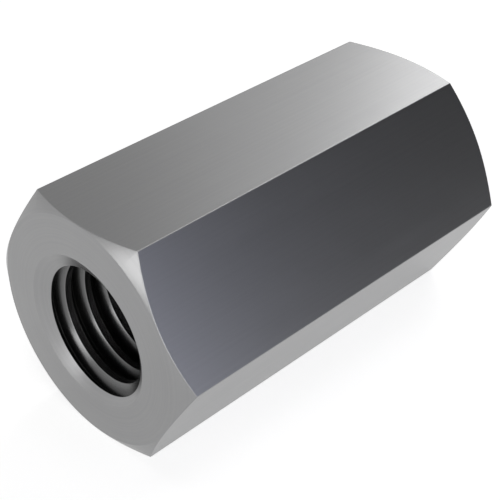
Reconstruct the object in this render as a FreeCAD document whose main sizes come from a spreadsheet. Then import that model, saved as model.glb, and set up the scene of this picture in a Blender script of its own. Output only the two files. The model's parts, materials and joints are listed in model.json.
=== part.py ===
# Coupling nut for M5 rods: a hexagon nut three diameters long that joins two threaded rods end to end.
# It is one piece of steel, cut from hexagon bar, so it is one solid.
#
# Frame: the origin is on the thread's axis, halfway along the nut. +X runs along the axis and +Z is
# square to the top flat, so the nut lies on its bottom flat and its corners point along +Y and -Y.
# The thread is cosmetic here: the bore has the size of its crests, which is the tapping drill's.
import FreeCAD, Part
import Sketcher
import math
import os

# Driving dimensions, in millimetres and degrees.
DIMENSIONS = {
    "across_flats": 8.0,  # the spanner's size
    "nut_length": 15.0,
    "edge_radius": 0.045,  # of the six long edges, as the drawing die leaves them
    "thread_diameter": 5.0,  # over the rod's crests
    "thread_pitch": 0.8,
    "end_chamfer_angle": 30.0,  # between the end face and the cone that trims the corners
    "end_face_inset": 0.025,  # how far the round end face stays inside the flats
    "countersink_angle": 120.0,  # between opposite sides of the cone at each mouth
    "countersink_margin": 0.125,  # how far the mouth stands outside the rod's crests
    "cutter_overrun": 0.5,  # how far a cutter goes past the metal that it removes
}

SIDES = 6
TAPPING_DRILL = "Sizes.thread_diameter - Sizes.thread_pitch"
ANGLE_TOLERANCE = 1e-6  # radians

# How a sketch's constraints number its own horizontal axis, which is the nut's axis here, and the
# points of a line or a circle.
ON_AXIS = -1
START = 1
END = 2
CENTRE = 3

doc = FreeCAD.newDocument("coupling_nut")


def make_sheet():
    """Writes the driving dimensions into a spreadsheet, one row each."""
    sheet = doc.addObject("Spreadsheet::Sheet", "Sizes")
    for row, (name, value) in enumerate(DIMENSIONS.items(), start=1):
        sheet.set(f"A{row}", name)
        sheet.set(f"B{row}", str(value))
        sheet.setAlias(f"B{row}", name)
    doc.recompute()
    return sheet


def origin_plane(body, role):
    """Finds one of the body's own origin planes."""
    return next(feature for feature in body.Origin.OriginFeatures if feature.Role == role)


def new_sketch(body, name, plane_role):
    """Starts a sketch on one of the body's own origin planes."""
    sketch = body.newObject("Sketcher::SketchObject", name)
    sketch.AttachmentSupport = [(origin_plane(body, plane_role), "")]
    sketch.MapMode = "FlatFace"
    return sketch


def dimension(sketch, name, kind, *where, size):
    """Adds a dimension to a sketch and binds it to an expression of the sheet's sizes."""
    value = sketch.evalExpression(size)
    index = sketch.addConstraint(Sketcher.Constraint(kind, *where, value))
    sketch.renameConstraint(index, name)
    sketch.setExpression(f"Constraints.{name}", size)


def draw_polygon(sketch, points):
    """Draws a closed run of lines through the points and joins their ends."""
    lines = []
    for start, end in zip(points, points[1:] + points[:1]):
        ends = FreeCAD.Vector(*start, 0), FreeCAD.Vector(*end, 0)
        lines.append(sketch.addGeometry(Part.LineSegment(*ends), False))
    for line, following in zip(lines, lines[1:] + lines[:1]):
        sketch.addConstraint(Sketcher.Constraint("Coincident", line, END, following, START))
    return lines


def corner_radius():
    """The distance from the nut's axis to each corner of the hexagon."""
    return DIMENSIONS["across_flats"] / 2 / math.cos(math.pi / SIDES)


def hexagon_sketch(body):
    """The bar's section before rounding: a regular hexagon inside a circle, with a level top side."""
    sketch = new_sketch(body, "HexagonSection", "YZ_Plane")
    corner = corner_radius()
    angles = [2 * math.pi * k / SIDES for k in range(SIDES)]
    sides = draw_polygon(sketch, [(corner * math.cos(a), corner * math.sin(a)) for a in angles])
    centre = FreeCAD.Vector(0, 0, 0)
    upward = FreeCAD.Vector(0, 0, 1)
    circle = sketch.addGeometry(Part.Circle(centre, upward, corner), True)
    sketch.addConstraint(Sketcher.Constraint("Coincident", circle, CENTRE, ON_AXIS, START))
    for side in sides:
        sketch.addConstraint(Sketcher.Constraint("PointOnObject", side, START, circle))
    for side in sides[1:]:
        sketch.addConstraint(Sketcher.Constraint("Equal", sides[0], side))
    top = sides[1]  # the first side runs from the corner at +Y up to it
    bottom = sides[1 + SIDES // 2]
    sketch.addConstraint(Sketcher.Constraint("Horizontal", top))
    dimension(
        sketch, "AcrossFlats", "DistanceY", bottom, START, top, START, size="Sizes.across_flats"
    )
    return sketch


def pad_bar(body):
    """The length of hexagon bar, half of it each side of the origin."""
    bar = body.newObject("PartDesign::Pad", "Bar")
    bar.Profile = hexagon_sketch(body)
    bar.SideType = "Symmetric"
    bar.setExpression("Length", "Sizes.nut_length")
    doc.recompute()
    return bar


def round_long_edges(body, bar):
    """Rounds the bar's six long edges, which are the only ones that run along the nut's axis."""
    long_edges = [
        f"Edge{number}"
        for number, edge in enumerate(bar.Shape.Edges, start=1)
        if edge.Curve.Direction.isParallel(FreeCAD.Vector(1, 0, 0), ANGLE_TOLERANCE)
    ]
    rounding = body.newObject("PartDesign::Fillet", "LongEdges")
    rounding.Base = (bar, long_edges)
    rounding.setExpression("Radius", "Sizes.edge_radius")
    doc.recompute()
    return rounding


def groove_round_axis(body, name, sketch):
    """Turns a sketch's triangle once round the nut's axis and takes it out of the metal."""
    groove = body.newObject("PartDesign::Groove", name)
    groove.Profile = sketch
    groove.ReferenceAxis = (sketch, ["H_Axis"])
    groove.Angle = 360
    doc.recompute()
    return groove


def end_chamfer(body):
    """The cone that trims the six corners at the -X end and leaves a round face there."""
    sketch = new_sketch(body, "EndChamferProfile", "XZ_Plane")
    end = -DIMENSIONS["nut_length"] / 2
    face_radius = DIMENSIONS["across_flats"] / 2 - DIMENSIONS["end_face_inset"]
    reach = corner_radius() + DIMENSIONS["cutter_overrun"]
    depth = (reach - face_radius) * math.tan(math.radians(DIMENSIONS["end_chamfer_angle"]))
    triangle = [(end, face_radius), (end, reach), (end + depth, reach)]
    face_side, top_side, cone_side = draw_polygon(sketch, triangle)
    sketch.addConstraint(Sketcher.Constraint("Vertical", face_side))
    sketch.addConstraint(Sketcher.Constraint("Horizontal", top_side))
    dimension(
        sketch, "EndPlane", "DistanceX", face_side, START, ON_AXIS, START, size="Sizes.nut_length / 2"
    )
    dimension(
        sketch, "FaceRadius", "DistanceY", ON_AXIS, START, face_side, START,
        size="Sizes.across_flats / 2 - Sizes.end_face_inset",
    )
    dimension(
        sketch, "Reach", "DistanceY", ON_AXIS, START, top_side, START,
        size=f"Sizes.across_flats / 2 / cos(180deg / {SIDES}) + Sizes.cutter_overrun",
    )
    dimension(
        sketch, "ConeAngle", "Angle", cone_side, END, face_side, START,
        size="Sizes.end_chamfer_angle * 1deg",
    )
    return groove_round_axis(body, "EndChamfer", sketch)


def mouth_sketch(body):
    """A circle on the -X end's plane that places the threaded hole on the nut's axis."""
    sketch = new_sketch(body, "MouthCircle", "YZ_Plane")
    sketch.setExpression("AttachmentOffset.Base.z", "-Sizes.nut_length / 2")
    radius = (DIMENSIONS["thread_diameter"] - DIMENSIONS["thread_pitch"]) / 2
    centre = FreeCAD.Vector(0, 0, 0)
    upward = FreeCAD.Vector(0, 0, 1)
    circle = sketch.addGeometry(Part.Circle(centre, upward, radius), False)
    sketch.addConstraint(Sketcher.Constraint("Coincident", circle, CENTRE, ON_AXIS, START))
    dimension(sketch, "TappingDrill", "Diameter", circle, size=TAPPING_DRILL)
    return sketch


def threaded_hole(body):
    """The hole through the nut at the tapping drill's size, with a countersunk mouth at the -X end."""
    hole = body.newObject("PartDesign::Hole", "ThreadedHole")
    hole.Profile = mouth_sketch(body)
    doc.recompute()
    hole.DepthType = "ThroughAll"
    hole.Reversed = True
    hole.HoleCutType = "Countersink"
    hole.setExpression("Diameter", TAPPING_DRILL)
    hole.setExpression("HoleCutDiameter", "Sizes.thread_diameter + 2 * Sizes.countersink_margin")
    hole.setExpression("HoleCutCountersinkAngle", "Sizes.countersink_angle")
    doc.recompute()
    return hole


def mirror_ends(body, features):
    """Repeats the -X end's chamfer and countersink at the +X end."""
    mirrored = body.newObject("PartDesign::Mirrored", "OtherEnd")
    mirrored.Originals = features
    mirrored.MirrorPlane = (origin_plane(body, "YZ_Plane"), [""])
    body.Tip = mirrored
    doc.recompute()
    return mirrored


def coupling_nut():
    """The whole nut: rounded hexagon bar, both ends chamfered, and the countersunk hole through it."""
    body = doc.addObject("PartDesign::Body", "CouplingNut")
    body.Label = "coupling_nut"
    bar = pad_bar(body)
    rounding = round_long_edges(body, bar)
    chamfer = end_chamfer(body)
    hole = threaded_hole(body)
    ends = mirror_ends(body, [chamfer, hole])
    volumes = [feature.Shape.Volume for feature in (bar, rounding, chamfer, hole, ends)]
    if sorted(volumes, reverse=True) != volumes or len(set(volumes)) != len(volumes):
        raise RuntimeError(f"a cut removed no metal: {volumes}")
    return body


def check(bodies):
    """Stops before anything is written if an object has failed or a shape isn't one sound solid."""
    doc.recompute()
    for item in doc.Objects:
        if "Invalid" in item.State or "Error" in item.State:
            raise RuntimeError(f"{item.Name} has failed: {item.State}")
    for body in bodies:
        if body.Shape.isNull() or not body.Shape.isValid() or len(body.Shape.Solids) != 1:
            raise RuntimeError(f"{body.Label} isn't one sound solid")


make_sheet()
parts = [coupling_nut()]
check(parts)
os.makedirs("parts", exist_ok=True)
for part in parts:
    part.Shape.exportStep(f"parts/{part.Label}.step")
    print(part.Label, "volume", round(part.Shape.Volume, 3), "mm3", part.Shape.optimalBoundingBox())
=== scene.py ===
"""A coupling nut for M5 rods, dressed for a close look: true thread, broken edges and a plated finish.

Every length is in metres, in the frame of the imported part: the origin is on the thread's axis, halfway
along the nut, +X runs along the axis and +Z is square to the top flat. The near end is the one at -X.
"""

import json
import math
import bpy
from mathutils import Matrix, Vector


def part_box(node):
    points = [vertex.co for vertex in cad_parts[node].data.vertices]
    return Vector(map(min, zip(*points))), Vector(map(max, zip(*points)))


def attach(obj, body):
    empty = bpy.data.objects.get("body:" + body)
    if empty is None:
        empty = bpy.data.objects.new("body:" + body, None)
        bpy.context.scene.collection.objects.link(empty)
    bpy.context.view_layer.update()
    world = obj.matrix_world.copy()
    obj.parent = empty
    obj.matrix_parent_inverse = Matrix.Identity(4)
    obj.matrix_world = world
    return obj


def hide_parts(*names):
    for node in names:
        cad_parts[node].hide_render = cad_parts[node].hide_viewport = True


bl_info = {
    "name": "Coupling Nut",
    "version": (1, 0, 0),
    "blender": (4, 5, 0),
    "location": "3D View > Sidebar > Coupling Nut",
    "description": "Builds a coupling nut with its thread and sets it in a pale studio",
    "category": "Add Mesh",
}

import bmesh
import bpy
from mathutils import Matrix, Vector

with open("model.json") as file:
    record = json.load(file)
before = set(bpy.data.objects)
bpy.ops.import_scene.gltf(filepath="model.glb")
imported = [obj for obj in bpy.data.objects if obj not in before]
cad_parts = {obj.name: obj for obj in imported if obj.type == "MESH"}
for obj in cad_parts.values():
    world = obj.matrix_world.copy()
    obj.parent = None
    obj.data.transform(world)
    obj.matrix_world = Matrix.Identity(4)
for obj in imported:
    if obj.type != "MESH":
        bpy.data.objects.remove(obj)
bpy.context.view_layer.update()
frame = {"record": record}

MM = 0.001
MICRON = 0.001 * MM
SIDES = 6
HALF_SIDE = math.pi / SIDES
LOW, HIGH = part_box("coupling_nut")
THREAD = next(mount for mount in frame["record"]["mounts"] if mount["name"] == "thread")

# Two faces that meet at more than this are shaded with a crease between them.
CREASE = math.radians(25)

# How far the lamps stand from the nut. The cards stand a little nearer, so that they can hide one.
LAMP_DISTANCE = 0.3
CARD_DISTANCE = 0.28

# A Mix node's sockets for two colours, and the one for what it makes of them.
COLOUR_A = 6
COLOUR_B = 7
MIXED_COLOUR = 2

# The nut's faces by how each was made, which is also the order of its material slots.
DRAWN, TURNED, TAPPED = range(3)


def length(name, description, default):
    """A property that holds a small length."""
    return bpy.props.FloatProperty(
        name=name, description=description, default=default, min=0.0, precision=6, unit="LENGTH"
    )


def angle(name, description, degrees):
    """A property that holds an angle."""
    return bpy.props.FloatProperty(
        name=name, description=description, default=math.radians(degrees), subtype="ANGLE"
    )


def factor(name, description, default, top=1.0):
    """A property that holds a plain number from nought upwards."""
    return bpy.props.FloatProperty(
        name=name, description=description, default=default, min=0.0, max=top, subtype="FACTOR"
    )


def linear(code):
    """The linear red, green and blue of an sRGB hex code."""
    channels = [int(code[start:start + 2], 16) / 255 for start in (1, 3, 5)]
    return [c / 12.92 if c <= 0.04045 else ((c + 0.055) / 1.055) ** 2.4 for c in channels]


def colour(name, description, code):
    """A property that holds a colour, given as an sRGB hex code."""
    return bpy.props.FloatVectorProperty(
        name=name, description=description, default=linear(code), min=0.0, max=1.0, subtype="COLOR"
    )


class NutSizes(bpy.types.PropertyGroup):
    """The sizes of the nut and of its thread."""

    across_flats: length("Across flats", "The spanner's size", HIGH.z - LOW.z)
    nut_length: length("Length", "From end face to end face", HIGH.x - LOW.x)
    face_inset: length("Face inset", "How far the round end face stays inside the flats", 0.025 * MM)
    chamfer_angle: angle("Chamfer", "Between the end face and the cone that trims the corners", 30)
    crest_radius: length(
        "Crest radius", "From the axis to the thread's crests", THREAD["dims"]["r_mm"] * MM
    )
    root_radius: length("Root radius", "From the axis to the thread's roots", 2.5 * MM)
    pitch: length("Pitch", "From one turn of the thread to the next", 0.8 * MM)
    flank_angle: angle("Flank", "Between a flank of the thread and a plane square to the axis", 30)
    thread_start: length("Thread start", "Depth of a crest's near edge on the +Y side", 0.048 * MM)
    mouth_radius: length("Mouth radius", "Of the countersink where it meets the end face", 2.625 * MM)
    mouth_slope: angle("Mouth slope", "Between the end face and the countersink's cone", 30)
    side_round: length("Side edge", "The radius of the long edges between two flats", 0.045 * MM)
    end_round: length("End edge", "The radius of the edges round the end faces", 0.03 * MM)
    crest_round: length("Crest edge", "The radius of both edges of a crest", 0.012 * MM)
    root_round: length("Root", "The radius of the corners in the bottom of the thread", 0.05 * MM)


class NutFinish(bpy.types.PropertyGroup):
    """The colours and the gloss of the plated steel."""

    plate: colour("Plate", "The zinc plate where it is clean and smooth", "#949494")
    plate_low: colour("Plate, low", "The zinc plate in the bottom of a tool mark", "#8A8A8B")
    # Painted shade: the dark tone given to the thread's roots and lower flanks in place of the shade deep in
    # the grooves
    root: colour("Root", "The bottom of the thread, where the plate hardly reaches", "#464646")
    glance: colour("Glance", "What the plate mirrors at a shallow angle", "#F0F0F0")
    roughness: factor("Roughness", "How far the plate blurs what it mirrors", 0.3)
    gloss_spread: factor("Gloss spread", "How far the roughness strays either way", 0.012)
    thread_roughness: factor("Thread roughness", "The same on the thread, which the tap burnishes", 0.24)
    bump: factor("Tool marks", "The strength of the drawing lines and turned rings", 1.0)


class Studio(bpy.types.PropertyGroup):
    """The floor, the light and the camera."""

    floor: colour("Floor", "The pale floor", "#E6E6E6")
    floor_radius: length("Floor radius", "From the nut to the floor's edge, far out of view", 0.6)
    floor_gap: length("Floor gap", "Between the nut's bottom flat and the floor", 0.005 * MM)
    glow: factor("Floor glow", "How much of its white the floor gives off to the eye", 0.65)
    sky: factor("Sky", "How strongly the even light from all round falls on things", 0.25, 5.0)
    azimuth: angle("Azimuth", "The camera's place round the nut, from straight in front", -45.02)
    elevation: angle("Elevation", "The camera's height above the horizon", 35.245)
    distance: length("Distance", "From the camera to the middle of the nut", 43.01 * MM)
    lens: bpy.props.FloatProperty(
        name="Lens", description="The focal length in millimetres", default=90.49, min=1.0
    )
    aim_right: length("Aim right", "How far right of the picture's middle the nut stands", 0.251 * MM)
    aim_up: length("Aim up", "How far above the picture's middle the nut stands", 0.547 * MM)


def arc(corner, before, after, radius, steps):
    """Points that round the corner of a flat path, from its side with before to its side with after."""
    corner, before, after = Vector(corner), Vector(before), Vector(after)
    back, ahead = (before - corner).normalized(), (after - corner).normalized()
    half = back.angle(ahead) / 2
    middle = corner + (back + ahead).normalized() * (radius / math.sin(half))
    first = corner + back * (radius / math.tan(half)) - middle
    turn = math.copysign(math.pi - 2 * half, ahead.x * back.y - ahead.y * back.x)
    return [middle + Matrix.Rotation(turn * step / steps, 2) @ first for step in range(steps + 1)]


def hexagon_columns(sizes, flat_steps=22, corner_steps=6):
    """The rounded hexagon's outline, once round, as (angle about the axis, radius)."""
    apothem = sizes.across_flats / 2
    centre = (apothem - sizes.side_round) / math.cos(HALF_SIDE)
    arc_end = Vector((centre, 0)) + sizes.side_round * Vector((math.cos(HALF_SIDE), math.sin(HALF_SIDE)))
    flat_start = math.atan2(arc_end.y, arc_end.x)
    columns = []
    for side in range(SIDES):
        corner = 2 * HALF_SIDE * side
        for step in range(corner_steps):
            lean = HALF_SIDE * (2 * step / corner_steps - 1)
            x = centre + sizes.side_round * math.cos(lean)
            y = sizes.side_round * math.sin(lean)
            columns.append((corner + math.atan2(y, x), math.hypot(x, y)))
        for step in range(flat_steps):
            turn = flat_start + 2 * (HALF_SIDE - flat_start) * step / flat_steps
            columns.append((corner + turn, apothem / math.cos(turn - HALF_SIDE)))
    return columns


def end_outline(sizes, radius, pilot_radius):
    """One end's outline in a column of this radius, from the bore to the flat, as (depth, radius)."""
    face_radius = sizes.across_flats / 2 - sizes.face_inset
    mouth_depth = (sizes.mouth_radius - pilot_radius) * math.tan(sizes.mouth_slope)
    chamfer_depth = (radius - face_radius) * math.tan(sizes.chamfer_angle)
    pilot, mouth, face = (mouth_depth, pilot_radius), (0, sizes.mouth_radius), (0, face_radius)
    trimmed, middle = (chamfer_depth, radius), (sizes.nut_length / 2, radius)
    fillet = min(sizes.end_round, math.dist(face, trimmed))
    return [
        Vector(pilot),
        *arc(mouth, pilot, face, sizes.end_round, steps=3),
        *arc(face, mouth, trimmed, fillet, steps=3),
        *arc(trimmed, face, middle, fillet, steps=5),
    ]


def blank(sizes, left_for_tap=0.2 * MM):
    """The hexagon bar with both ends trimmed and countersunk, and a pilot hole narrower than the thread."""
    bm = bmesh.new()
    half = sizes.nut_length / 2
    pilot_radius = sizes.crest_radius - left_for_tap
    rings = []
    for turn, radius in hexagon_columns(sizes):
        near = [(depth - half, reach) for depth, reach in end_outline(sizes, radius, pilot_radius)]
        far = [(-x, reach) for x, reach in reversed(near)]
        across = Vector((0, math.cos(turn), math.sin(turn)))
        rings.append([bm.verts.new(Vector((x, 0, 0)) + reach * across) for x, reach in near + far])
    stations = len(rings[0])
    side_station = stations // 2 - 1
    for ring, following in zip(rings, rings[1:] + rings[:1]):
        for k in range(stations):
            ahead = (k + 1) % stations
            face = bm.faces.new((ring[k], ring[ahead], following[ahead], following[k]))
            face.material_index = DRAWN if k == side_station else TURNED
    return bm


def thread_section(sizes):
    """One turn of the thread's section, as (distance along the axis, radius), from a crest onwards."""
    depth = sizes.root_radius - sizes.crest_radius
    flank = depth * math.tan(sizes.flank_angle)
    root = sizes.pitch / 8
    crest = sizes.pitch - root - 2 * flank
    near, far = (0, sizes.crest_radius), (crest, sizes.crest_radius)
    low, high = (crest + flank, sizes.root_radius), (crest + flank + root, sizes.root_radius)
    last_high, following = (-flank, sizes.root_radius), (sizes.pitch, sizes.crest_radius)
    return [
        *arc(near, last_high, far, sizes.crest_round, steps=3),
        *arc(far, near, low, sizes.crest_round, steps=3),
        *arc(low, far, high, sizes.root_round, steps=2),
        *arc(high, low, following, sizes.root_round, steps=2),
    ]


def thread_core(sizes, steps=108):
    """A closed right-hand screw that fills the threaded hole and stands out past both ends of the nut."""
    bm = bmesh.new()
    section = thread_section(sizes)
    turns_out = 2
    start = sizes.thread_start - sizes.nut_length / 2 - turns_out * sizes.pitch
    turns = math.ceil(sizes.nut_length / sizes.pitch) + 2 * turns_out
    rows = []
    for step in range(turns * steps + 1):
        turn = 2 * math.pi * step / steps
        across = Vector((0, math.cos(turn), math.sin(turn)))
        advance = start + sizes.pitch * step / steps
        rows.append([bm.verts.new(Vector((advance + x, 0, 0)) + reach * across) for x, reach in section])
    for row, following in zip(rows, rows[1:]):
        for k in range(len(section) - 1):
            bm.faces.new((row[k], following[k], following[k + 1], row[k + 1]))
    for i in range(len(rows) - steps - 1):
        bm.faces.new((rows[i][-1], rows[i + 1][-1], rows[i + 1 + steps][0], rows[i + steps][0]))
    # A fan from a point on the axis closes each end, and a flat face in line with the section its step.
    first = [row[0] for row in rows[:steps + 1]]
    last = [row[-1] for row in rows[-steps - 1:]]
    for edge, profile in ((first, rows[0][:] + first[-1:]), (last, last[:1] + rows[-1][:])):
        hub = bm.verts.new((edge[0].co.x, 0, 0))
        for a, b in zip(edge, edge[1:]):
            bm.faces.new((hub, a, b))
        bm.faces.new([hub] + profile)
    for face in bm.faces:
        face.material_index = TAPPED
    return bm


def mesh_object(name, bm, materials):
    """Turns a bmesh into an object of the scene, with outward faces."""
    bmesh.ops.recalc_face_normals(bm, faces=bm.faces)
    mesh = bpy.data.meshes.new(name)
    bm.to_mesh(mesh)
    bm.free()
    for material in materials:
        mesh.materials.append(material)
    obj = bpy.data.objects.new(name, mesh)
    bpy.context.scene.collection.objects.link(obj)
    return obj


def apply_modifiers(obj):
    """Makes what an object's modifiers show into its own mesh."""
    evaluated = obj.evaluated_get(bpy.context.evaluated_depsgraph_get())
    mesh = bpy.data.meshes.new_from_object(evaluated)
    obj.modifiers.clear()
    obj.data = mesh


def add_node(tree, kind, inputs=None, **settings):
    """Adds a node with its settings. Each input is a value, or the socket that feeds it."""
    node = tree.nodes.new(kind)
    for name, value in settings.items():
        setattr(node, name, value)
    for name, value in (inputs or {}).items():
        if isinstance(value, bpy.types.NodeSocket):
            tree.links.new(value, node.inputs[name])
        else:
            node.inputs[name].default_value = value
    return node


def drawn_lines(tree, place):
    """Cold drawing through a die leaves faint straight lines along the bar."""
    # The real ones are about a hundredth of a millimetre wide. These are as coarse as they need to show.
    line_width, line_length = 0.1 * MM, 7 * MM
    stretched = add_node(tree, "ShaderNodeMapping", {
        "Vector": place, "Scale": (1 / line_length, 1 / line_width, 1 / line_width),
    })
    return add_node(tree, "ShaderNodeTexNoise", {
        "Vector": stretched.outputs["Vector"], "Scale": 1.0, "Detail": 1.0, "Roughness": 0.45,
    }).outputs["Fac"]


def turned_rings(tree, place, feed):
    """A cutting tool leaves rings about the axis, one for each step of its feed."""
    across = add_node(
        tree, "ShaderNodeVectorMath", {0: place, 1: (0, 1 / feed, 1 / feed)}, operation="MULTIPLY"
    )
    rings = add_node(tree, "ShaderNodeVectorMath", {0: across.outputs[0]}, operation="LENGTH")
    return add_node(tree, "ShaderNodeTexNoise", {
        "W": rings.outputs["Value"], "Scale": 1.0, "Detail": 2.0, "Roughness": 0.5,
    }, noise_dimensions="1D").outputs["Fac"]


def depth_in_mouth(tree, place, radius, sizes):
    """How far a point of the thread lies below the countersink's cone, measured along the axis."""
    along = add_node(tree, "ShaderNodeVectorMath", {0: place, 1: (1, 0, 0)}, operation="MULTIPLY")
    from_middle = add_node(tree, "ShaderNodeVectorMath", {0: along.outputs[0]}, operation="LENGTH")
    apex = sizes.nut_length / 2 - sizes.mouth_radius * math.tan(sizes.mouth_slope)
    cone = add_node(tree, "ShaderNodeMath", {
        0: radius, 1: math.tan(sizes.mouth_slope), 2: apex,
    }, operation="MULTIPLY_ADD")
    return add_node(tree, "ShaderNodeMath", {
        0: cone.outputs[0], 1: from_middle.outputs["Value"],
    }, operation="SUBTRACT").outputs[0]


def painted_shade_in_thread(tree, place, tone, sizes, finish):
    """Painted shade in the thread: the tone darkens down the flanks to the roots, as shade would fall there,
    but not on the crests or near the mouth.
    """
    full_shade_height = 0.1 * MM  # of the band at the bottom of the groove that gets the full painted shade
    flank_lit_share = 0.38  # the share of the clean plate's tone left at the top of a flank; the rest is painted shade
    shade_fade_depth = 0.2 * MM  # how far below the mouth's cone the painted shade takes to come in fully
    across = add_node(tree, "ShaderNodeVectorMath", {0: place, 1: (0, 1, 1)}, operation="MULTIPLY")
    radius = add_node(tree, "ShaderNodeVectorMath", {0: across.outputs[0]}, operation="LENGTH")
    radius = radius.outputs["Value"]
    # Painted shade: darker from the top of each flank down to the root.
    shade_down_flank = add_node(tree, "ShaderNodeMapRange", {
        "Value": radius, "From Min": sizes.root_radius - full_shade_height,
        "From Max": sizes.crest_radius, "To Max": flank_lit_share,
    }, interpolation_type="SMOOTHERSTEP")
    shaded_tone = add_node(tree, "ShaderNodeMix", {
        "Factor": shade_down_flank.outputs["Result"], COLOUR_A: (*finish.root, 1), COLOUR_B: tone,
    }, data_type="RGBA").outputs[MIXED_COLOUR]
    on_crest = add_node(tree, "ShaderNodeMapRange", {
        "Value": radius, "From Min": sizes.crest_radius + sizes.crest_round,
        "From Max": sizes.crest_radius,
    })
    inside = add_node(tree, "ShaderNodeMix", {
        "Factor": on_crest.outputs["Result"], COLOUR_A: shaded_tone, COLOUR_B: tone,
    }, data_type="RGBA").outputs[MIXED_COLOUR]
    # The painted shade fades out towards the mouth, where the grooves are shallow and open.
    shade_fade_in = add_node(tree, "ShaderNodeMapRange", {
        "Value": depth_in_mouth(tree, place, radius, sizes), "From Min": 0.0, "From Max": shade_fade_depth,
    }, interpolation_type="SMOOTHSTEP")
    return add_node(tree, "ShaderNodeMix", {
        "Factor": shade_fade_in.outputs["Result"], COLOUR_A: tone, COLOUR_B: inside,
    }, data_type="RGBA").outputs[MIXED_COLOUR]


def plated_steel(name, finish, roughness, marks, mark_depth, shade_painter=None):
    """Bright zinc plate, too thin to hide the marks of the tool below it, which marks() draws.

    It gives the eye a soft grey mirror, a little duller and darker where a mark or a cloud of the plating
    bath lies. Where given, the last argument paints shade into its tone from place to place.
    """
    cloud_size, cloud_share = 1.5 * MM, 0.4
    # The plate's crystals are about 5 microns across. These are as coarse as they need to show.
    crystal_size, crystal_height = 0.06 * MM, 0.15 * MICRON
    usual_low, usual_high = 0.3, 0.7  # where most of a noise texture's values lie
    material = bpy.data.materials.new(name)
    material.use_nodes = True
    tree = material.node_tree
    shader = tree.nodes["Principled BSDF"]
    place = add_node(tree, "ShaderNodeTexCoord").outputs["Object"]
    lines = marks(tree, place)
    clouds = add_node(tree, "ShaderNodeTexNoise", {
        "Vector": place, "Scale": 1 / cloud_size, "Detail": 4.0, "Roughness": 0.55,
    }).outputs["Fac"]
    crystals = add_node(tree, "ShaderNodeTexNoise", {
        "Vector": place, "Scale": 1 / crystal_size, "Detail": 2.0,
    }).outputs["Fac"]
    cleanness = add_node(tree, "ShaderNodeMix", {
        "Factor": cloud_share, "A": lines, "B": clouds,
    }).outputs["Result"]
    tone = add_node(tree, "ShaderNodeMix", {
        "Factor": cleanness, COLOUR_A: (*finish.plate_low, 1), COLOUR_B: (*finish.plate, 1),
    }, data_type="RGBA").outputs[MIXED_COLOUR]
    # Where given, shade is painted into the tone here.
    if shade_painter:
        tone = shade_painter(tree, place, tone)
    gloss = add_node(tree, "ShaderNodeMapRange", {
        "Value": cleanness, "From Min": usual_low, "From Max": usual_high,
        "To Min": roughness + finish.gloss_spread, "To Max": roughness - finish.gloss_spread,
    })
    fine = add_node(tree, "ShaderNodeBump", {
        "Height": crystals, "Distance": crystal_height, "Strength": finish.bump,
    })
    relief = add_node(tree, "ShaderNodeBump", {
        "Height": lines, "Distance": mark_depth, "Strength": finish.bump, "Normal": fine.outputs["Normal"],
    })
    shader.inputs["Metallic"].default_value = 1.0
    shader.inputs["Specular Tint"].default_value = (*finish.glance, 1)
    tree.links.new(tone, shader.inputs["Base Color"])
    tree.links.new(gloss.outputs["Result"], shader.inputs["Roughness"])
    tree.links.new(relief.outputs["Normal"], shader.inputs["Normal"])
    return material


def nut_materials(sizes, finish):
    """The nut's three finishes, in the order of its material slots."""
    face_feed, tap_feed = 0.09 * MM, 0.05 * MM

    def face_rings(tree, place):
        return turned_rings(tree, place, face_feed)

    def tap_rings(tree, place):
        return turned_rings(tree, place, tap_feed)

    # Paints shade into the thread's grooves.
    def paint_thread_shade(tree, place, tone):
        return painted_shade_in_thread(tree, place, tone, sizes, finish)

    return [
        # Zinc over cold-drawn bar: the smoothest faces. They mirror the studio in long soft bands, with
        # the faintest lines along the nut.
        plated_steel("zinc_plated_drawn_steel", finish, finish.roughness, drawn_lines, 0.12 * MICRON),
        # Zinc over turned faces: the same soft mirror, with faint rings round the axis on the end faces,
        # their cones and the mouths.
        plated_steel("zinc_plated_turned_steel", finish, finish.roughness, face_rings, 0.25 * MICRON),
        # Zinc over a tapped thread: bright narrow streaks on the flanks, and painted shade down to the
        # roots.
        # The tap's own lines are finer than these, which are as coarse as they need to show.
        plated_steel(
            "zinc_plated_tapped_steel", finish, finish.thread_roughness, tap_rings, 0.4 * MICRON, paint_thread_shade
        ),
    ]


class CouplingNutBuild(bpy.types.Operator):
    """Build the coupling nut: hexagon bar, trimmed and countersunk ends, and the thread right through"""

    bl_idname = "mesh.coupling_nut_build"
    bl_label = "Build Coupling Nut"

    def execute(self, context):
        sizes, finish = context.scene.nut_sizes, context.scene.nut_finish
        materials = nut_materials(sizes, finish)
        nut = mesh_object("coupling_nut_dressed", blank(sizes), materials)
        core = mesh_object("thread_core", thread_core(sizes), materials)
        cut = nut.modifiers.new("thread", "BOOLEAN")
        cut.operation, cut.solver, cut.object = "DIFFERENCE", "EXACT", core
        apply_modifiers(nut)
        bpy.data.objects.remove(core)
        if not any(face.material_index == TAPPED for face in nut.data.polygons):
            raise RuntimeError("the thread was not cut")
        nut.data.shade_smooth()
        nut.data.set_sharp_from_angle(angle=CREASE)
        weigh = nut.modifiers.new("normals", "WEIGHTED_NORMAL")
        weigh.keep_sharp = True
        apply_modifiers(nut)
        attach(nut, "root")
        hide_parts("coupling_nut")
        return {"FINISHED"}


def direction(azimuth, elevation):
    """The unit vector at this azimuth, from +X towards +Y, and this elevation, both in degrees."""
    a, e = math.radians(azimuth), math.radians(elevation)
    return Vector((math.cos(a) * math.cos(e), math.sin(a) * math.cos(e), math.sin(e)))


def face_nut(obj, azimuth, elevation, distance):
    """Stands a lamp or card in the given direction, facing the nut."""
    way = direction(azimuth, elevation)
    obj.location = way * distance
    obj.rotation_euler = way.to_track_quat("Z", "Y").to_euler()


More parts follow.
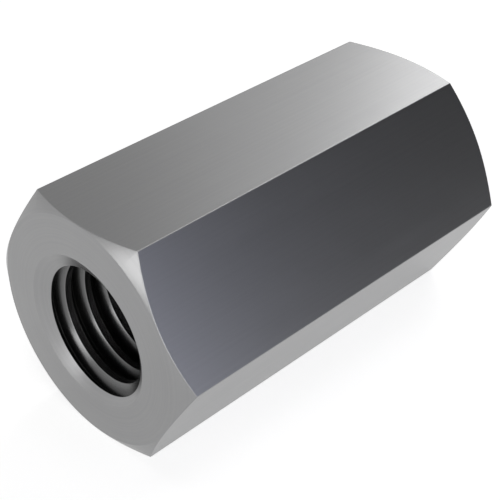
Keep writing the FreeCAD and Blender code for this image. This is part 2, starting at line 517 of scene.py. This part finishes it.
def softbox(name, azimuth, elevation, width, height, brightness, tint="#FFFFFF"):
    """A soft lamp. Its brightness is what a mirror would show of it, where 1 is white."""
    lamp = bpy.data.lights.new(name, "AREA")
    lamp.shape, lamp.size, lamp.size_y = "RECTANGLE", width, height
    lamp.energy = brightness * math.pi * width * height
    lamp.color = linear(tint)
    obj = bpy.data.objects.new(name, lamp)
    bpy.context.scene.collection.objects.link(obj)
    face_nut(obj, azimuth, elevation, LAMP_DISTANCE)
    obj.visible_camera = False
    return obj


def card(name, azimuth, elevation, width, height, tone):
    """A grey card of one plain tone that only the metal's reflections show, to shape them."""
    bm = bmesh.new()
    bmesh.ops.create_grid(bm, size=0.5)
    bmesh.ops.scale(bm, vec=(width, height, 1), verts=bm.verts)
    material = bpy.data.materials.new(name)
    material.use_nodes = True
    tree = material.node_tree
    tree.nodes.remove(tree.nodes["Principled BSDF"])
    glow = add_node(tree, "ShaderNodeEmission", {"Color": (*linear(tone), 1), "Strength": 1.0})
    tree.links.new(glow.outputs["Emission"], tree.nodes["Material Output"].inputs["Surface"])
    obj = mesh_object(name, bm, [material])
    face_nut(obj, azimuth, elevation, CARD_DISTANCE)
    obj.visible_camera = obj.visible_diffuse = obj.visible_shadow = obj.visible_transmission = False
    return obj


def seen_directly(tree):
    """A socket that is 1 for the camera's rays, and for those by way of a mirror or glass."""
    path = add_node(tree, "ShaderNodeLightPath").outputs
    two = add_node(tree, "ShaderNodeMath", {
        0: path["Is Camera Ray"], 1: path["Is Glossy Ray"],
    }, operation="ADD")
    return add_node(tree, "ShaderNodeMath", {
        0: two.outputs[0], 1: path["Is Transmission Ray"],
    }, operation="ADD", use_clamp=True).outputs[0]


def floor_material(studio):
    """Matt white paint on board, rolled flat: the eye sees plain white, with the nut's soft shadow on it.

    Part of that white is a glow that lights nothing, so that only the shadow looks grey.
    """
    material = bpy.data.materials.new("matt_painted_board")
    material.use_nodes = True
    tree = material.node_tree
    tree.nodes.remove(tree.nodes["Principled BSDF"])
    paint = add_node(tree, "ShaderNodeBsdfDiffuse", {"Color": (*studio.floor, 1)})
    lift = add_node(tree, "ShaderNodeMath", {0: seen_directly(tree), 1: studio.glow}, operation="MULTIPLY")
    glow = add_node(tree, "ShaderNodeEmission", {"Strength": lift.outputs[0]})
    both = add_node(tree, "ShaderNodeAddShader", {0: paint.outputs[0], 1: glow.outputs[0]})
    tree.links.new(both.outputs[0], tree.nodes["Material Output"].inputs["Surface"])
    return material


def light_world(studio):
    """Even pale light from all round, on a background that is plain white to the eye."""
    world = bpy.data.worlds.new("pale_studio")
    world.use_nodes = True
    tree = world.node_tree
    strength = add_node(tree, "ShaderNodeMix", {"Factor": seen_directly(tree), "A": studio.sky, "B": 1.0})
    background = tree.nodes["Background"]
    background.inputs["Color"].default_value = (1, 1, 1, 1)
    tree.links.new(strength.outputs["Result"], background.inputs["Strength"])
    bpy.context.scene.world = world


def place_camera(studio):
    """Looks down at the near end from the photograph's angle."""
    turned = Matrix.Rotation(studio.azimuth, 3, "Z")
    right = turned @ Vector((1, 0, 0))
    back = turned @ Vector((0, -math.cos(studio.elevation), math.sin(studio.elevation)))
    up = back.cross(right)
    data = bpy.data.cameras.new("camera")
    data.lens = studio.lens
    data.clip_start, data.clip_end = 1 * MM, 10.0
    camera = bpy.data.objects.new("camera", data)
    camera.location = back * studio.distance - right * studio.aim_right - up * studio.aim_up
    camera.rotation_euler = Matrix((right, up, back)).transposed().to_euler()
    bpy.context.scene.collection.objects.link(camera)
    bpy.context.scene.camera = camera


class PaleStudioSet(bpy.types.Operator):
    """Set the nut on a pale floor, in soft studio light, in front of the camera"""

    bl_idname = "scene.pale_studio_set"
    bl_label = "Set Pale Studio"

    def execute(self, context):
        studio = context.scene.studio
        bm = bmesh.new()
        bmesh.ops.create_circle(bm, cap_ends=True, segments=96, radius=studio.floor_radius)
        floor = mesh_object("floor", bm, [floor_material(studio)])
        floor.location.z = LOW.z - studio.floor_gap
        light_world(studio)
        # Each lamp: azimuth and elevation in degrees, width and height in metres, and brightness.
        # The top flat, seen from straight above.
        softbox("top_softbox", 0, 89, 0.14, 0.14, 1.2)
        # The bright far end of the top flat.
        softbox("back_softbox", 26, 30, 0.1, 0.14, 2.6)
        # The bright corner patches of the near end and the streak in its mouth.
        softbox("end_softbox", 176, 9, 0.16, 0.05, 3.2)
        # The front flats, seen from the far end, and the floor.
        softbox("key_softbox", -141, 38, 0.18, 0.13, 1.0)
        # The bright line where the near end meets the front flat, and the floor that the lower flats mirror.
        softbox("front_softbox", -112, 17, 0.11, 0.14, 3.6)
        # The cool near end of the front flat.
        softbox("side_softbox", -71, 14, 0.08, 0.16, 0.8, tint="#B8C4FF")
        # The thin bright line along the edge between the top flat and the front one.
        softbox("edge_softbox", -20, 52, 0.06, 0.06, 4.0)
        # Each card: azimuth, elevation, width and height in the same units, and tone.
        # The dark far end of the front flat.
        card("front_flag", -37, 14, 0.26, 0.19, "#181818")
        # The darker near end of the top flat.
        card("back_flag", 66, 38, 0.14, 0.12, "#B1B1B1")
        # The flats that the photograph's angle doesn't show, or shows lit: without these, each pair of
        # neighbours would mirror the same white and the edge between them would be lost.
        card("side_flag", 100, 14, 0.14, 0.14, "#A0A0A0")
        card("rear_flag", 146, 37, 0.14, 0.12, "#9A9A9A")
        card("high_flag", -82, 52, 0.14, 0.12, "#A0A0A0")
        place_camera(studio)
        context.scene.view_settings.view_transform = "Standard"
        return {"FINISHED"}


class CouplingNutPanel(bpy.types.Panel):
    """Lists the nut's sizes and finish, and the two steps that make the scene"""

    bl_idname = "VIEW3D_PT_coupling_nut"
    bl_label = "Coupling Nut"
    bl_space_type = "VIEW_3D"
    bl_region_type = "UI"
    bl_category = "Coupling Nut"

    def draw(self, context):
        scene = context.scene
        steps = (
            (CouplingNutBuild, (scene.nut_sizes, scene.nut_finish)),
            (PaleStudioSet, (scene.studio,)),
        )
        for step, groups in steps:
            box = self.layout.box()
            for group in groups:
                for name in group.__annotations__:
                    box.prop(group, name)
            box.operator(step.bl_idname)


CLASSES = (NutSizes, NutFinish, Studio, CouplingNutBuild, PaleStudioSet, CouplingNutPanel)


def register():
    """Registers the classes and gives the scene its three groups of properties."""
    for cls in CLASSES:
        bpy.utils.register_class(cls)
    bpy.types.Scene.nut_sizes = bpy.props.PointerProperty(type=NutSizes)
    bpy.types.Scene.nut_finish = bpy.props.PointerProperty(type=NutFinish)
    bpy.types.Scene.studio = bpy.props.PointerProperty(type=Studio)


def unregister():
    """Takes the groups of properties away again, and then the classes."""
    del bpy.types.Scene.studio
    del bpy.types.Scene.nut_finish
    del bpy.types.Scene.nut_sizes
    for cls in reversed(CLASSES):
        bpy.utils.unregister_class(cls)


def main():
    """Builds the nut and its studio."""
    register()
    bpy.ops.mesh.coupling_nut_build()
    bpy.ops.scene.pale_studio_set()


if __name__ == "__main__":
    main()
